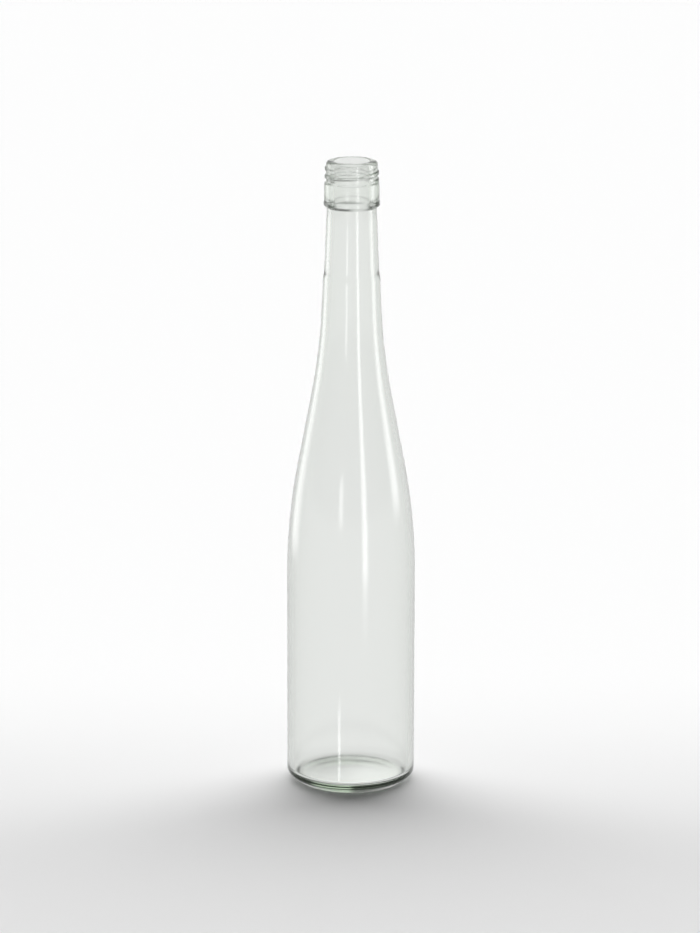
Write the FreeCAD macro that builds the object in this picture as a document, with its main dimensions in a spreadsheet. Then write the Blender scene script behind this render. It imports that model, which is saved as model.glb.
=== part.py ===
"""Hock wine bottle of clear glass: tall and slender, half a litre, with a screw finish for a long-skirted cap.

The bottle is one solid, empty and without its cap. It stands on +Z, its origin is the centre of the foot on the
plane it stands on, and -Y is its front. Lengths are millimetres and angles are degrees. The driving dimensions are
in the spreadsheet "sizes", and heights near the mouth are measured down from the lip, so that a taller bottle gets a
longer body and keeps its neck.
"""

import FreeCAD, Part
import math
import os
import Sketcher
from FreeCAD import Vector

doc = FreeCAD.newDocument("hock_bottle")

DIMENSIONS = {
    "overall": [
        ("total_height", 326.2),  # foot to lip
        ("body_diameter", 66.0),
        ("body_wall", 2.6),  # level thickness of the body and the shoulder
        ("neck_wall", 3.2),  # level thickness of the neck
    ],
    "shoulder and neck": [
        ("shoulder_depth", 186.2),  # lip down to where the body's side would meet the slope
        ("shoulder_radius", 314.0),
        ("sweep_depth", 98.3),  # lip down to where the slope would meet the neck
        ("sweep_radius", 319.0),
        ("neck_spread", 1.6),  # how much the neck's radius grows from the cap's edge down to the sweep
    ],
    "neck under the cap": [
        ("cap_depth", 57.3),  # lip down to the edge of the cap's skirt
        ("cap_spread", 1.36),  # how much the neck's radius grows from the ring down to the cap's edge
        ("step_height", 2.7),
        ("step_width", 0.55),  # how far the neck steps out below the cap's edge
        ("step_round", 10.3),
    ],
    "screw finish": [
        ("finish_diameter", 28.0),  # across the band
        ("ring_proud", 0.25),  # how far the locking ring stands out past the band
        ("ring_overhang", 1.6),  # how far the ring stands out from the neck below it
        ("ring_height", 2.2),  # the ring's outer face, before rounding
        ("ring_slope", 0.9),  # height of the ring's lower face
        ("ring_upper_round", 0.8),
        ("ring_lower_round", 1.2),
        ("waist_depth", 0.15),  # groove between the band and the ring
        ("waist_slope", 0.5),  # height of each side of that groove
        ("waist_round", 0.2),
        ("band_length", 8.25),  # smooth band under the thread
        ("band_gap", 0.9),  # middle of the thread's lower end down to the band
        ("band_depth", 0.95),  # how far the wall between the threads lies under the band
        ("band_slope", 0.8),  # height of the band's upper face
        ("band_round", 1.0),
        ("inner_round", 0.4),  # where the band and the ring meet the wall beside them
        ("thread_depth", 3.75),  # lip down to the middle of the thread's upper end
        ("thread_pitch", 3.89),  # right-hand
        ("thread_turns", 1.75),  # with the run-outs
        ("thread_height", 0.75),
        ("thread_width", 2.5),  # at the foot of its rounded section
        ("thread_seat", 0.5),  # how deep that foot is sunk in the wall
        ("thread_start", 215.0),  # angle of the upper end, from +X towards +Y
        ("thread_run_out", 45.0),  # angle over which each end rises from the wall
    ],
    "mouth": [
        ("bore_diameter", 18.0),
        ("bore_length", 19.0),
        ("bore_blend", 60.0),  # radius between the bore and the widening neck
        ("lip_outer_round", 2.0),
        ("lip_inner_round", 1.0),
    ],
    "foot": [
        ("heel_radius", 4.5),  # where the body turns into the sloping heel
        ("heel_rise", 4.0),  # height at which the body's side would meet that slope
        ("heel_width", 6.2),  # level width of the slope
        ("bearing_width", 1.2),  # flat ring that the bottle stands on
        ("bearing_round", 0.8),
        ("hollow_height", 1.4),  # hollow under the foot
        ("hollow_curve", 0.9),  # share of the hollow's side that is curved
        ("foot_glass", 4.2),  # glass over the middle of the hollow
        ("floor_fall", 0.8),  # from the middle of the inside floor down to its edge
        ("floor_curve", 0.65),  # share of the floor's side that is curved
        ("floor_corner", 3.0),  # radius between the floor and the wall
    ],
}

sheet = doc.addObject("Spreadsheet::Sheet", "sizes")
row = 0
for group, dimensions in DIMENSIONS.items():
    row += 1
    sheet.set(f"A{row}", group)
    for alias, value in dimensions:
        row += 1
        sheet.set(f"A{row}", alias)
        sheet.set(f"B{row}", str(value))
        sheet.setAlias(f"B{row}", alias)
doc.recompute()


class Size:
    """A number and the expression that gives it, so that a place in a sketch is worked out in one line."""

    def __init__(self, value, text):
        self.value = value
        self.text = text

    def __add__(self, other):
        return Size(self.value + other.value, f"({self.text} + {other.text})")

    def __sub__(self, other):
        return Size(self.value - other.value, f"({self.text} - {other.text})")

    def __mul__(self, other):
        return Size(self.value * other.value, f"{self.text} * {other.text}")

    def __truediv__(self, other):
        if isinstance(other, Size):
            return Size(self.value / other.value, f"{self.text} / {other.text}")
        return Size(self.value / other, f"{self.text} / {other}")


def cell(alias):
    """A driving dimension of the sheet."""
    return Size(float(sheet.get(alias)), f"sizes.{alias}")


def add_outline(sketch, corners):
    """Draws a closed half-section in a sketch, where x is the radius and y is the height.

    Each corner is its x, its y and its rounding, and None stands for zero. The first and the last corner lie on
    the axis, which closes the outline.
    """
    places = [Vector(x.value if x else 0, y.value if y else 0, 0) for x, y, rounding in corners]
    sides = [(end - start).normalize() for start, end in zip(places, places[1:])]

    def trim(number):
        """How far a corner's rounding reaches along its sides."""
        rounding = corners[number][2]
        if rounding is None:
            return 0
        return rounding.value * math.tan(sides[number - 1].getAngle(sides[number]) / 2)

    lines = []
    for number, side in enumerate(sides):
        start = places[number] + side * trim(number)
        end = places[number + 1] - side * trim(number + 1)
        lines.append(sketch.addGeometry(Part.LineSegment(start, end)))
    axis = sketch.addGeometry(Part.LineSegment(places[-1], places[0]))

    def bind(point, vertex, constraint, zero_axis, size):
        """Ties one coordinate of a point to its size, or holds the point on an axis where it is zero."""
        if size is None:
            sketch.addConstraint(Sketcher.Constraint("PointOnObject", point, vertex, zero_axis))
            return
        number = sketch.addConstraint(Sketcher.Constraint(constraint, -1, 1, point, vertex, size.value))
        sketch.setExpression(f"Constraints[{number}]", size.text)

    for number, (x, y, rounding) in enumerate(corners):
        place = places[number]
        before = lines[number - 1] if number else axis
        after = lines[number] if number < len(lines) else axis
        if rounding is None:
            sketch.addConstraint(Sketcher.Constraint("Coincident", before, 2, after, 1))
            point, vertex = after, 1
        else:
            into, out = sides[number - 1], sides[number]
            left = into.cross(out).z > 0
            inward = (out - into).normalize()
            centre = place + inward * (rounding.value / math.cos(into.getAngle(out) / 2))
            ends = [place - into * trim(number), place + out * trim(number)]
            spokes = [end - centre for end in (ends if left else reversed(ends))]
            circle = Part.Circle(centre, Vector(0, 0, 1), rounding.value)
            arc = Part.ArcOfCircle(circle, *(math.atan2(spoke.y, spoke.x) for spoke in spokes))
            curve = sketch.addGeometry(arc)
            first, last = (1, 2) if left else (2, 1)
            sketch.addConstraint(Sketcher.Constraint("Tangent", before, 2, curve, first))
            sketch.addConstraint(Sketcher.Constraint("Tangent", curve, last, after, 1))
            radius = sketch.addConstraint(Sketcher.Constraint("Radius", curve, rounding.value))
            sketch.setExpression(f"Constraints[{radius}]", rounding.text)
            point, vertex = sketch.addGeometry(Part.Point(place), True), 1
            sketch.addConstraint(Sketcher.Constraint("PointOnObject", point, vertex, before))
            sketch.addConstraint(Sketcher.Constraint("PointOnObject", point, vertex, after))
        bind(point, vertex, "DistanceX", -2, x)
        bind(point, vertex, "DistanceY", -1, y)


# Heights of the finish and the neck, from the lip down
lip = cell("total_height")
band_top = lip - cell("thread_depth") - cell("thread_pitch") * cell("thread_turns") - cell("band_gap")
band_bottom = band_top - cell("band_length")
waist = band_bottom - cell("waist_slope")
ring_top = waist - cell("waist_slope")
ring_bottom = ring_top - cell("ring_height")
neck_top = ring_bottom - cell("ring_slope")
cap_edge = lip - cell("cap_depth")
step_bottom = cap_edge - cell("step_height")
sweep_corner = lip - cell("sweep_depth")
shoulder_corner = lip - cell("shoulder_depth")

# Radii, from the finish down
finish = cell("finish_diameter") / 2
root = finish - cell("band_depth")
bore = cell("bore_diameter") / 2
ring = finish + cell("ring_proud")
under_ring = ring - cell("ring_overhang")
at_cap_edge = under_ring + cell("cap_spread")
below_step = at_cap_edge + cell("step_width")
at_sweep = below_step + cell("neck_spread")
body = cell("body_diameter") / 2
inside = body - cell("body_wall")
bearing_outer = body - cell("heel_width")
bearing_inner = bearing_outer - cell("bearing_width")

# Foot: the hollow and the inside floor are shallow domes, bent about the middle of their sides
hollow_top = cell("hollow_height")
floor_top = hollow_top + cell("foot_glass")
hollow_middle = bearing_inner / 2
floor_middle = inside / 2
hollow_round = bearing_inner * hollow_middle * cell("hollow_curve") / hollow_top
floor_round = inside * floor_middle * cell("floor_curve") / cell("floor_fall")

SECTION = [
    # the hollow under the foot, the bearing ring and the heel
    (None, hollow_top, None),
    (hollow_middle, hollow_top, hollow_round),
    (bearing_inner, None, cell("bearing_round")),
    (bearing_outer, None, cell("bearing_round")),
    (body, cell("heel_rise"), cell("heel_radius")),
    # body, shoulder and neck
    (body, shoulder_corner, cell("shoulder_radius")),
    (at_sweep, sweep_corner, cell("sweep_radius")),
    (below_step, step_bottom, cell("step_round")),
    (at_cap_edge, cap_edge, cell("step_round")),
    (under_ring, neck_top, cell("inner_round")),
    # locking ring, groove and band
    (ring, ring_bottom, cell("ring_lower_round")),
    (ring, ring_top, cell("ring_upper_round")),
    (finish - cell("waist_depth"), waist, cell("waist_round")),
    (finish, band_bottom, cell("waist_round")),
    (finish, band_top, cell("band_round")),
    (root, band_top + cell("band_slope"), cell("inner_round")),
    # lip and mouth
    (root, lip, cell("lip_outer_round")),
    (bore, lip, cell("lip_inner_round")),
    (bore, lip - cell("bore_length"), cell("bore_blend")),
    # inside of the neck, the shoulder and the body
    (at_sweep - cell("neck_wall"), sweep_corner, cell("sweep_radius")),
    (inside, shoulder_corner, cell("shoulder_radius")),
    (inside, floor_top - cell("floor_fall"), cell("floor_corner")),
    (floor_middle, floor_top, floor_round),
    (None, floor_top, None),
]


def make_wall():
    """The whole bottle but its thread: the section of its glass turned about the axis."""
    wall = doc.addObject("PartDesign::Body", "glass_wall")
    sketch = wall.newObject("Sketcher::SketchObject", "wall_section")
    plane = next(feature for feature in wall.Origin.OriginFeatures if feature.Role == "XZ_Plane")
    sketch.AttachmentSupport = [(plane, "")]
    sketch.MapMode = "FlatFace"
    add_outline(sketch, SECTION)
    turned = wall.newObject("PartDesign::Revolution", "turned_wall")
    turned.Profile = sketch
    turned.ReferenceAxis = (sketch, ["V_Axis"])
    turned.Angle = 360
    wall.Tip = turned
    return wall


def thread_section(share):
    """The thread's rounded section at one share of its length, standing on a chord sunk in the wall."""
    turned = 360 * cell("thread_turns").value * share
    nearest_end = min(share, 1 - share) * 360 * cell("thread_turns").value
    rise = min(1, nearest_end / cell("thread_run_out").value)
    rise = rise * rise * (3 - 2 * rise)
    foot = root.value - cell("thread_seat").value
    sunk_crest = root.value - cell("thread_seat").value / 2
    crest = sunk_crest + (root.value + cell("thread_height").value - sunk_crest) * rise
    half = cell("thread_width").value / 2
    middle = lip.value - cell("thread_depth").value - cell("thread_pitch").value * turned / 360
    upper = Vector(foot, 0, middle + half)
    lower = Vector(foot, 0, middle - half)
    bow = Part.Arc(upper, Vector(crest, 0, middle), lower).toShape()
    section = Part.Wire([bow, Part.makeLine(lower, upper)])
    section.rotate(Vector(), Vector(0, 0, 1), cell("thread_start").value - turned)
    return section


def make_thread():
    """The right-hand thread, which grows out of the wall at its upper end and sinks back at its lower end."""
    sections_in_turn = 24
    steps = math.ceil(sections_in_turn * cell("thread_turns").value)
    thread = doc.addObject("Part::Feature", "thread")
    thread.Shape = Part.makeLoft([thread_section(step / steps) for step in range(steps + 1)], True)
    return thread


def make_bottle():
    """The one piece of glass."""
    bottle = doc.addObject("Part::Fuse", "bottle")
    bottle.Base = make_wall()
    bottle.Tool = make_thread()
    bottle.Label = "bottle"
    return bottle


bottle = make_bottle()
doc.recompute()

for item in doc.Objects:
    faults = {"Invalid", "Error"}.intersection(item.State)
    if faults:
        raise RuntimeError(f"{item.Label} is {', '.join(faults)}")
if bottle.Shape.isNull() or not bottle.Shape.isValid() or len(bottle.Shape.Solids) != 1:
    raise RuntimeError("the bottle is not one valid solid")

os.makedirs("parts", exist_ok=True)
bottle.Shape.exportStep(f"parts/{bottle.Label}.step")

box = bottle.Shape.optimalBoundingBox(False)
print(f"{bottle.Label}: {box.XLength:.2f} x {box.YLength:.2f} x {box.ZLength:.2f} mm")
print(f"glass {bottle.Shape.Volume / 1000:.1f} ml")
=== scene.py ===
import bpy
import math
from mathutils import Matrix, Vector


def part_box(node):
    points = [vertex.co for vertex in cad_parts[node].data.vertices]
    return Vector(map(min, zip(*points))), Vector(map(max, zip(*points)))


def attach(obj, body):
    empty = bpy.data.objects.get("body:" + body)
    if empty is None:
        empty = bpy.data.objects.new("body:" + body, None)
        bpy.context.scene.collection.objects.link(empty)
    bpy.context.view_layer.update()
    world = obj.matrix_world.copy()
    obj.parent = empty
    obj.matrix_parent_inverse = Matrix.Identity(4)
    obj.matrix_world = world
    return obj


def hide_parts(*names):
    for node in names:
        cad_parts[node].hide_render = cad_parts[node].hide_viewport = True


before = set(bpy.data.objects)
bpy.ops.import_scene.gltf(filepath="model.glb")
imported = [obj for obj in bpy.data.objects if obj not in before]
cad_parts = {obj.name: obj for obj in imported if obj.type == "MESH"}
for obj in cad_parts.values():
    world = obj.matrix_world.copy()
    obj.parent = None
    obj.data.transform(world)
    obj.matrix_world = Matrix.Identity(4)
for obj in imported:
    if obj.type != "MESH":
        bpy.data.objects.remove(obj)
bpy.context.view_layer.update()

print("frame loaded:", ", ".join(sorted(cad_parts)))

mm = 0.001


class Wire:
    # a socket that can stand in a Python expression, where each operator adds its Math node
    def __init__(self, graph, socket):
        self.graph = graph
        self.socket = socket

    def math(self, operation, *others):
        inputs = dict(enumerate((self,) + others))
        return self.graph.add("ShaderNodeMath", {"operation": operation}, inputs)

    def beside(self, name):
        return Wire(self.graph, self.socket.node.outputs[name])

    def __add__(self, other):
        return self.math("ADD", other)

    def __rsub__(self, other):
        return (self * -1) + other

    def __mul__(self, other):
        return self.math("MULTIPLY", other)

    __radd__ = __add__
    __rmul__ = __mul__


class Graph:
    def __init__(self, tree):
        self.tree = tree
        tree.nodes.clear()

    def add(self, kind, settings=None, inputs=None, output=0):
        node = self.tree.nodes.new(kind)
        for name, value in (settings or {}).items():
            setattr(node, name, value)
        for name, value in (inputs or {}).items():
            if isinstance(value, Wire):
                self.tree.links.new(value.socket, node.inputs[name])
            else:
                node.inputs[name].default_value = value
        return Wire(self, node.outputs[output]) if node.outputs else None

    def smoothStep(self, value, low, high):
        # 0 at low and 1 at high, also where low is the larger
        settings = {"interpolation_type": "SMOOTHSTEP"}
        return self.add("ShaderNodeMapRange", settings, {"Value": value, "From Min": low, "From Max": high})


def grey(level):
    return (level, level, level, 1)


def newMaterial(name):
    material = bpy.data.materials.new(name)
    material.use_nodes = True
    return material, Graph(material.node_tree)


# clear glass
glassLook = {
    "ior": 1.5,
    "roughness": 0.10,
    "finishRoughness": 0.17,  # the moulded finish is less polished than the blown body
    "finishDepth": 27 * mm,  # lip down to where the finish ends
    "finishBlend": 4 * mm,
    "tint": (0.79, 0.93, 0.75, 1),  # what the absorption lets through
    "tintDensity": 27.0,  # per metre
    "ripple": 0.003 * mm,  # depth of the soft unevenness
    "rippleScale": 30.0,
    "rippleDetail": 1.0,
    "rippleRoughness": 0.4,
}


def makeGlass(lip):
    look = glassLook
    material, graph = newMaterial("clearGlass")
    place = graph.add("ShaderNodeTexCoord", output="Object")
    height = graph.add("ShaderNodeSeparateXYZ", inputs={"Vector": place}, output="Z")
    finishEnd = lip - look["finishDepth"]
    onFinish = graph.smoothStep(height, finishEnd - look["finishBlend"], finishEnd)
    roughness = look["roughness"] * (1 - onFinish) + look["finishRoughness"] * onFinish
    ripple = graph.add("ShaderNodeTexNoise", inputs={
        "Vector": place, "Scale": look["rippleScale"], "Detail": look["rippleDetail"],
        "Roughness": look["rippleRoughness"]})
    bump = graph.add("ShaderNodeBump", inputs={"Height": ripple, "Distance": look["ripple"], "Strength": 1.0})
    surface = graph.add("ShaderNodeBsdfPrincipled", inputs={
        "Base Color": (1, 1, 1, 1), "Roughness": roughness, "IOR": look["ior"],
        "Transmission Weight": 1.0, "Normal": bump})
    inside = graph.add("ShaderNodeVolumeAbsorption", inputs={
        "Color": look["tint"], "Density": look["tintDensity"]})
    graph.add("ShaderNodeOutputMaterial", inputs={"Surface": surface, "Volume": inside})
    return material


# the bottle, with the sizes of the CAD part
low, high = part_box("bottle")
lip = high.z
bottle = {
    "bodyRadius": high.x,
    "bodyWall": 2.6 * mm,
    "neckWall": 3.2 * mm,
    "shoulderDepth": 186.2 * mm,  # depths are measured down from the lip
    "shoulderRadius": 314 * mm,
    "sweepDepth": 98.3 * mm,
    "sweepRadius": 319 * mm,
    "neckSpread": 1.6 * mm,
    "capDepth": 57.3 * mm,
    "capSpread": 1.36 * mm,
    "stepHeight": 2.7 * mm,
    "stepWidth": 0.55 * mm,
    "stepRound": 10.3 * mm,
    "finishRadius": 14 * mm,
    "ringProud": 0.25 * mm,
    "ringOverhang": 1.6 * mm,
    "ringHeight": 2.2 * mm,
    "ringSlope": 0.9 * mm,
    "ringUpperRound": 0.8 * mm,
    "ringLowerRound": 1.2 * mm,
    "waistDepth": 0.15 * mm,
    "waistSlope": 0.5 * mm,
    "waistRound": 0.2 * mm,
    "bandLength": 8.25 * mm,
    "bandTop": 11.458 * mm,
    "bandDepth": 0.95 * mm,
    "bandSlope": 0.8 * mm,
    "bandRound": 1 * mm,
    "innerRound": 0.4 * mm,
    "boreRadius": 9 * mm,
    "boreLength": 19 * mm,
    "boreBlend": 60 * mm,
    "lipOuterRound": 2 * mm,
    "lipInnerRound": 1 * mm,
    "heelRadius": 4.5 * mm,
    "heelRise": 4 * mm,
    "heelWidth": 6.2 * mm,
    "bearingWidth": 1.2 * mm,
    "bearingRound": 0.8 * mm,
    "hollowHeight": 1.4 * mm,
    "hollowCurve": 0.9,  # share of the hollow's side that is curved
    "footGlass": 4.2 * mm,
    "floorFall": 0.8 * mm,
    "floorCurve": 0.65,
    "floorCorner": 3 * mm,
    "columns": 240,
    "longestEdge": 3.2 * mm,
    "threadRowHeight": 0.12 * mm,
    "arcStep": 9,  # degrees, the most that one edge of an arc turns
    "leastArcSteps": 4,
    "boreMargin": 3 * mm,  # further than this from the bore is the outside of the finish
    "mergeDistance": 0.002 * mm,  # places closer than this are the same
}

thread = {
    "depth": 3.75 * mm,  # lip down to the upper end
    "pitch": 3.89 * mm,
    "turns": 1.75,
    "height": 0.75 * mm,
    "halfWidth": 1.35 * mm,
    "flank": 0.72 * mm,  # width of each sloping side
    "start": 215.0,  # degrees from +X to the upper end
    "runOut": 45.0,  # degrees over which each end comes down to the wall
}


def sectionCorners():
    b = bottle
    bandTop = lip - b["bandTop"]
    bandBottom = bandTop - b["bandLength"]
    waist = bandBottom - b["waistSlope"]
    ringTop = waist - b["waistSlope"]
    ringBottom = ringTop - b["ringHeight"]
    neckTop = ringBottom - b["ringSlope"]
    capEdge = lip - b["capDepth"]
    finish = b["finishRadius"]
    root = finish - b["bandDepth"]
    ring = finish + b["ringProud"]
    underRing = ring - b["ringOverhang"]
    atCapEdge = underRing + b["capSpread"]
    belowStep = atCapEdge + b["stepWidth"]
    atSweep = belowStep + b["neckSpread"]
    body = b["bodyRadius"]
    inside = body - b["bodyWall"]
    bearingOuter = body - b["heelWidth"]
    bearingInner = bearingOuter - b["bearingWidth"]
    floorTop = b["hollowHeight"] + b["footGlass"]
    hollowRound = bearingInner * bearingInner / 2 * b["hollowCurve"] / b["hollowHeight"]
    floorRound = inside * inside / 2 * b["floorCurve"] / b["floorFall"]
    # radius, height and rounding of each corner
    return [
        (0, b["hollowHeight"], 0),
        (bearingInner / 2, b["hollowHeight"], hollowRound),
        (bearingInner, 0, b["bearingRound"]),
        (bearingOuter, 0, b["bearingRound"]),
        (body, b["heelRise"], b["heelRadius"]),
        (body, lip - b["shoulderDepth"], b["shoulderRadius"]),
        (atSweep, lip - b["sweepDepth"], b["sweepRadius"]),
        (belowStep, capEdge - b["stepHeight"], b["stepRound"]),
        (atCapEdge, capEdge, b["stepRound"]),
        (underRing, neckTop, b["innerRound"]),
        (ring, ringBottom, b["ringLowerRound"]),
        (ring, ringTop, b["ringUpperRound"]),
        (finish - b["waistDepth"], waist, b["waistRound"]),
        (finish, bandBottom, b["waistRound"]),
        (finish, bandTop, b["bandRound"]),
        (root, bandTop + b["bandSlope"], b["innerRound"]),
        (root, lip, b["lipOuterRound"]),
        (b["boreRadius"], lip, b["lipInnerRound"]),
        (b["boreRadius"], lip - b["boreLength"], b["boreBlend"]),
        (atSweep - b["neckWall"], lip - b["sweepDepth"], b["sweepRadius"]),
        (inside, lip - b["shoulderDepth"], b["shoulderRadius"]),
        (inside, floorTop - b["floorFall"], b["floorCorner"]),
        (inside / 2, floorTop, floorRound),
        (0, floorTop, 0),
    ]


def roundedOutline(corners):
    # the outline as points, with an arc at each rounded corner
    places = [Vector((radius, 0, height)) for radius, height, rounding in corners]
    points = [places[0]]
    for number in range(1, len(corners) - 1):
        place, rounding = places[number], corners[number][2]
        into = (place - places[number - 1]).normalized()
        out = (places[number + 1] - place).normalized()
        turn = into.angle(out)
        trim = rounding * math.tan(turn / 2)
        centre = place + (out - into).normalized() * (rounding / math.cos(turn / 2))
        first = (place - into * trim - centre).normalized()
        last = (place + out * trim - centre).normalized()
        byTurn = math.ceil(math.degrees(turn) / bottle["arcStep"])
        byLength = math.ceil(rounding * turn / bottle["longestEdge"])
        steps = max(bottle["leastArcSteps"], byTurn, byLength)
        points += [centre + first.slerp(last, step / steps) * rounding for step in range(steps + 1)]
    return points + [places[-1]]


def splitLongEdges(points):
    # rows close enough together for the thread and for soft unevenness
    rootRadius = bottle["finishRadius"] - bottle["bandDepth"]
    rows = [points[0]]
    for start, end in zip(points, points[1:]):
        offRoot = max(abs(start.x - rootRadius), abs(end.x - rootRadius))
        onRoot = offRoot < bottle["mergeDistance"]
        longest = bottle["threadRowHeight"] if onRoot else bottle["longestEdge"]
        steps = max(1, math.ceil((end - start).length / longest))
        rows += [start.lerp(end, step / steps) for step in range(1, steps + 1)]
    return rows


def easeInOut(share):
    return share * share * (3 - 2 * share)


def threadRise(angle, height):
    # how far the thread stands out of the wall at one place
    t = thread
    rise = 0
    turned = (t["start"] - math.degrees(angle)) % 360
    while turned < 360 * t["turns"]:
        offset = abs(height - (lip - t["depth"] - t["pitch"] * turned / 360))
        if offset < t["halfWidth"]:
            slope = min(1, (t["halfWidth"] - offset) / t["flank"])
            runOut = min(1, min(turned, 360 * t["turns"] - turned) / t["runOut"])
            rise = max(rise, t["height"] * easeInOut(slope) * easeInOut(runOut))
        turned += 360
    return rise


def makeBottle(material):
    bpy.ops.object.select_all(action="DESELECT")
    bpy.ops.mesh.primitive_plane_add(size=1 * mm, location=(0, 0, 0))
    piece = bpy.context.object
    piece.name = "bottleGlass"
    rows = splitLongEdges(roundedOutline(sectionCorners()))
    # the plane becomes one point, which is drawn along the section and then spun round the axis
    bpy.ops.object.mode_set(mode="EDIT")
    bpy.ops.mesh.select_all(action="SELECT")
    bpy.ops.mesh.merge(type="CENTER")
    bpy.ops.transform.translate(value=rows[0])
    for start, end in zip(rows, rows[1:]):
        bpy.ops.mesh.extrude_region_move(TRANSFORM_OT_translate={"value": end - start})
    print("section drawn:", len(rows), "points")
    bpy.ops.mesh.select_all(action="SELECT")
    bpy.ops.mesh.spin(steps=bottle["columns"], angle=math.tau, center=(0, 0, 0), axis=(0, 0, 1))
    bpy.ops.mesh.select_all(action="SELECT")
    bpy.ops.mesh.remove_doubles(threshold=bottle["mergeDistance"])
    bpy.ops.mesh.normals_make_consistent(inside=False)
    bpy.ops.object.mode_set(mode="OBJECT")
    outsideFrom = bottle["boreRadius"] + bottle["boreMargin"]
    for vertex in piece.data.vertices:
        radius = math.hypot(vertex.co.x, vertex.co.y)
        if lip - bottle["bandTop"] < vertex.co.z < lip and radius > outsideFrom:
            grown = 1 + threadRise(math.atan2(vertex.co.y, vertex.co.x), vertex.co.z) / radius
            vertex.co.x *= grown
            vertex.co.y *= grown
    bpy.ops.object.shade_smooth()
    piece.data.materials.append(material)
    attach(piece, "root")
    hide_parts("bottle")
    print("bottle made:", len(piece.data.polygons), "faces")
    return piece


makeBottle(makeGlass(lip))


white = 0.985  # the backdrop, and the floor behind the bottle
seenThrough = 0.845  # the backdrop and the floor as the glass shows them

# pale floor
floorLook = {
    "size": 8,
    "shade": 0.80,  # painted shade: the floor's colour towards the camera
    "shadeEnd": -0.15,
    "shadeStart": 0.20,  # behind the bottle, where the painted shade starts to darken the colour
    "middleBright": 0.17,  # painted light: a brighter glow in the middle of the foot, seen through the glass
    "ringDark": 0.18,  # painted shade: a darker glow in a ring round that middle
    "ringInnerEdge": (0.024, 0.026),  # from the axis, where the ring starts and where it is full
    "ringOuterEdge": (0.030, 0.036),  # where it starts to fade and where it is gone
    "held": 0.7,  # share of the light off the floor that the glass keeps from the floor
}


def makeFloor():
    look = floorLook
    bpy.ops.mesh.primitive_plane_add(size=look["size"], location=(0, 0, 0))
    floor = bpy.context.object
    floor.name = "floor"
    material, graph = newMaterial("paleFloor")
    place = graph.add("ShaderNodeTexCoord", output="Object")
    depth = graph.add("ShaderNodeSeparateXYZ", inputs={"Vector": place}, output="Y")
    # painted shade: the floor's colour darkens from white behind the bottle to the shade towards the camera
    far = graph.smoothStep(depth, look["shadeEnd"], look["shadeStart"])
    # a Mix node's colours are its sockets 6 and 7, and 2 is its colour output
    colour = graph.add("ShaderNodeMix", {"data_type": "RGBA"}, {
        0: far, 6: grey(look["shade"]), 7: grey(white)}, output=2)
    lit = graph.add("ShaderNodeBsdfDiffuse", inputs={"Color": colour})
    clear = graph.add("ShaderNodeBsdfTransparent")
    throughGlass = graph.add("ShaderNodeLightPath", output="Is Transmission Ray")
    offGlass = throughGlass.beside("Is Glossy Ray") * (1 - throughGlass)
    fromFloor = throughGlass.beside("Diffuse Depth").math("GREATER_THAN", 0.5)
    radius = graph.add("ShaderNodeVectorMath", {"operation": "LENGTH"}, {0: place}, output="Value")
    ringStart, ringFull = look["ringInnerEdge"]
    ringFading, ringGone = look["ringOuterEdge"]
    # painted shade in a ring round the foot and painted light in its middle, on the floor as the glass shows
    # it
    ring = graph.smoothStep(radius, ringStart, ringFull) * graph.smoothStep(radius, ringGone, ringFading)
    middle = graph.smoothStep(radius, ringFull, ringStart)
    level = 1 - look["ringDark"] * ring + look["middleBright"] * middle
    level = level * (1 - look["held"] * fromFloor)
    # a glow where the glass shows it, with painted shade in a ring round the foot and painted light in its
    # middle, clear to what the glass reflects, and lit by the room elsewhere
    glow = graph.add("ShaderNodeEmission", inputs={"Strength": level * seenThrough})
    seen = graph.add("ShaderNodeMixShader", inputs={0: throughGlass, 1: lit, 2: glow})
    surface = graph.add("ShaderNodeMixShader", inputs={0: offGlass, 1: seen, 2: clear})
    graph.add("ShaderNodeOutputMaterial", inputs={"Surface": surface})
    floor.data.materials.append(material)


# the room round the bottle
# each pair is where a step from dark to light starts and ends, along the direction in its note
room = {
    "ambient": 0.05,
    "lowBackdrop": (0.10, 0.02),  # up
    "windowLeft": (-0.05, 0.03),  # to the right
    "windowRight": (0.52, 0.42),  # to the right
    "behind": (-0.3, 0.4),  # away from the front
    "frontSeen": 0.10,  # what the glass shows beside the lit backdrop
    "mirrored": (0.5, 0.95),  # away from the front
    "backReflected": 0.85,
    "frontReflected": 0.22,
    "backLight": 3.2,  # what lights the floor, from behind
    "backLightStep": (0.2, 0.5),  # away from the front
    "glassHeld": 0.5,  # share of that light that the glass keeps from the floor
}


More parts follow.
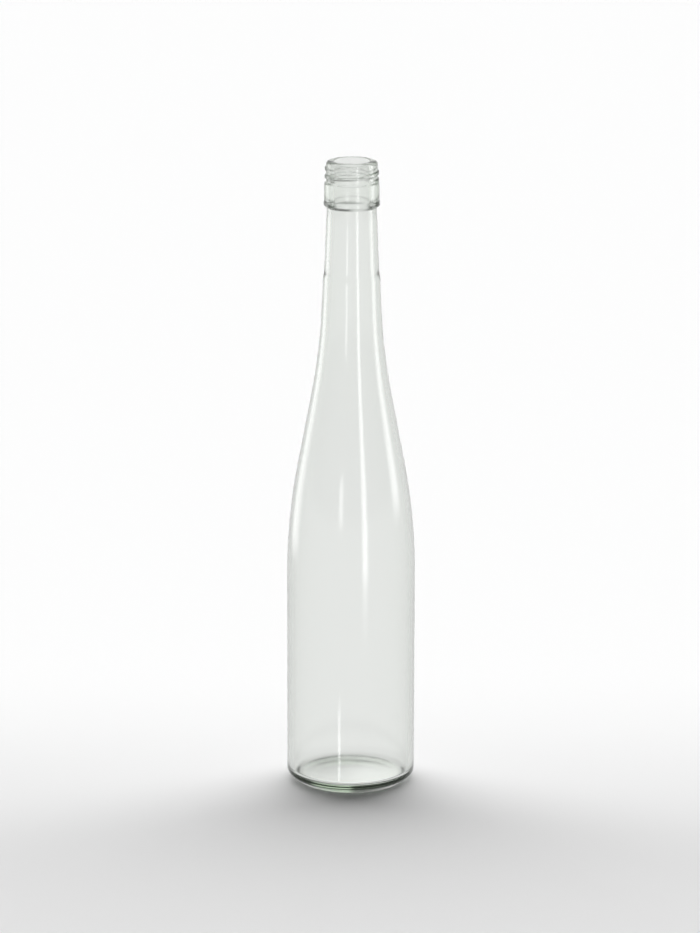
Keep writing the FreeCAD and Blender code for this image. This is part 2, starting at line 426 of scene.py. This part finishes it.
def makeWorld():
    world = bpy.data.worlds.new("studioRoom")
    bpy.context.scene.world = world
    world.use_nodes = True
    graph = Graph(world.node_tree)
    way = graph.add("ShaderNodeTexCoord", output="Generated")
    aside = graph.add("ShaderNodeSeparateXYZ", inputs={"Vector": way}, output="X")
    backwards = aside.beside("Y")
    upwards = aside.beside("Z")
    toCamera = graph.add("ShaderNodeLightPath", output="Is Camera Ray")
    throughGlass = toCamera.beside("Is Transmission Ray")
    glossy = toCamera.beside("Is Glossy Ray")
    fromFloor = toCamera.beside("Diffuse Depth").math("GREATER_THAN", 0.5)
    pastGlass = toCamera.beside("Transmission Depth").math("GREATER_THAN", 0.5)
    # the glass shows the lit backdrop behind it, and reflects a brighter back than front
    lowBackdrop = graph.smoothStep(upwards, *room["lowBackdrop"])
    window = graph.smoothStep(aside, *room["windowLeft"]) * graph.smoothStep(aside, *room["windowRight"])
    lit = graph.smoothStep(backwards, *room["behind"]) * lowBackdrop.math("MAXIMUM", window)
    seen = seenThrough * lit + room["frontSeen"] * (1 - lit)
    mirrored = graph.smoothStep(backwards, *room["mirrored"])
    reflected = room["backReflected"] * mirrored + room["frontReflected"] * (1 - mirrored)
    onGlass = seen * throughGlass + reflected * (1 - throughGlass)
    indoors = onGlass * glossy + room["ambient"] * (1 - glossy)
    # the floor is lit from behind, and less where that light came through the glass
    fromBehind = graph.smoothStep(backwards, *room["backLightStep"])
    onFloor = room["ambient"] + room["backLight"] * fromBehind
    onFloor = onFloor * (1 - room["glassHeld"] * pastGlass)
    lighting = onFloor * fromFloor + indoors * (1 - fromFloor)
    level = white * toCamera + lighting * (1 - toCamera)
    background = graph.add("ShaderNodeBackground", inputs={"Color": (1, 1, 1, 1), "Strength": level})
    graph.add("ShaderNodeOutputWorld", inputs={"Surface": background})


# lamps
softSun = {
    "level": 0.05,
    "spread": 24.0,  # degrees
    "lean": 8.0,  # degrees, from behind
}

lampDistance = 0.6  # from the bottle's axis

# side is where the reflection stands, as a share of the bottle's radius, and fade is at the low end
strips = {
    "leftStrip": {"side": -0.875, "width": 0.42, "level": 2.4, "low": -0.03, "high": 0.6, "fade": 0.06},
    "middleStrip": {"side": 0.214, "width": 0.16, "level": 6.5, "low": -0.1, "high": 0.6, "fade": 0.12},
    "rightStrip": {"side": 0.745, "width": 0.34, "level": 4.0, "low": 0.06, "high": 0.6, "fade": 0.08},
    "weakStrip": {"side": -0.165, "width": 0.13, "level": 4.5, "low": 0.1, "high": 0.23, "fade": 0.03},
    "lowStrip": {"side": -0.175, "width": 0.07, "level": 12.0, "low": -0.21, "high": -0.13, "fade": 0.03},
}
stripSoftness = 0.9  # share of the half width over which a strip comes in from its edge


def addSun():
    lean = math.radians(softSun["lean"])
    bpy.ops.object.light_add(type="SUN", location=(0, 1, 2), rotation=(-lean, 0, 0))
    sun = bpy.context.object
    sun.name = "softSun"
    sun.data.energy = softSun["level"] * math.pi
    sun.data.angle = math.radians(softSun["spread"])
    sun.visible_glossy = False
    sun.visible_transmission = False


def addStrip(name, side, width, level, low, high, fade):
    # a soft upright strip lamp that faces the bottle's axis
    turn = 2 * math.asin(side)
    middle, height = (low + high) / 2, high - low
    place = Vector((math.sin(turn) * lampDistance, -math.cos(turn) * lampDistance, middle))
    facing = (Vector((0, 0, middle)) - place).to_track_quat("-Z", "Y").to_euler()
    bpy.ops.object.light_add(type="AREA", location=place, rotation=facing)
    lamp = bpy.context.object
    lamp.name = name
    lamp.data.shape = "RECTANGLE"
    lamp.data.size = width
    lamp.data.size_y = height
    lamp.data.energy = level * math.pi * width * height
    lamp.visible_camera = False
    lamp.visible_diffuse = False
    lamp.visible_transmission = False
    lamp.data.use_nodes = True
    graph = Graph(lamp.data.node_tree)
    spot = graph.add("ShaderNodeNewGeometry", output="Parametric")
    across = graph.add("ShaderNodeSeparateXYZ", inputs={"Vector": spot}, output="X")
    along = across.beside("Y")
    fromEdge = across.math("PINGPONG", 0.5) * 2
    strength = graph.smoothStep(fromEdge, 0, stripSoftness) * graph.smoothStep(along, 0, fade / height)
    emission = graph.add("ShaderNodeEmission", inputs={"Color": (1, 1, 1, 1), "Strength": strength})
    graph.add("ShaderNodeOutputLight", inputs={"Surface": emission})


# camera
view = {
    "back": 2.2,
    "height": 0.7156,
    "aside": -0.64 * mm,
    "pitch": 14.002,  # degrees down
    "roll": 0.117,
    "lens": 170.46,
    "sensor": 36,
    "clipEnd": 50,
}


def makeCamera():
    tilt = Matrix.Rotation(math.radians(90 - view["pitch"]), 3, "X")
    turned = tilt @ Matrix.Rotation(math.radians(view["roll"]), 3, "Z")
    place = (view["aside"], -view["back"], view["height"])
    bpy.ops.object.camera_add(location=place, rotation=turned.to_euler())
    camera = bpy.context.object
    camera.data.sensor_width = view["sensor"]
    camera.data.lens = view["lens"]
    camera.data.clip_end = view["clipEnd"]
    bpy.context.scene.camera = camera


makeFloor()
makeWorld()
addSun()
for name, strip in strips.items():
    addStrip(name, **strip)
makeCamera()
bpy.context.scene.view_settings.view_transform = "Standard"
print("studio ready")
